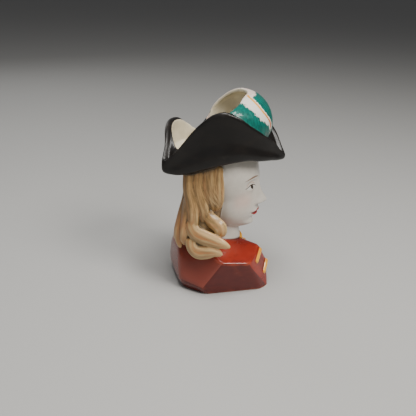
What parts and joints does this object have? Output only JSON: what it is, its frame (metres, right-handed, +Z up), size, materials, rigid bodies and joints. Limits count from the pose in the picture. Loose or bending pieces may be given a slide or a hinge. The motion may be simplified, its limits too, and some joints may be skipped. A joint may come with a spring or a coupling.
{
  "type": "head vase",
  "caption": "Hollow glazed head vase: a bust with long curled hair in a braided coat, open at the top through a feathered three-cornered hat.",
  "frame": {"origin": "on the table, under the middle of the vase's bounding box", "axes": "+Z up; the face looks along -Y; +X is the figure's left; the coat is turned 26 degrees to the figure's left of the face"},
  "size_m": [0.0856, 0.0904, 0.15],
  "materials": {
    "porcelain": "glossy clear glaze over hand painting on white porcelain"
  },
  "bodies": {
    "root": {"head_vase": "porcelain"}
  },
  "joints": []
}
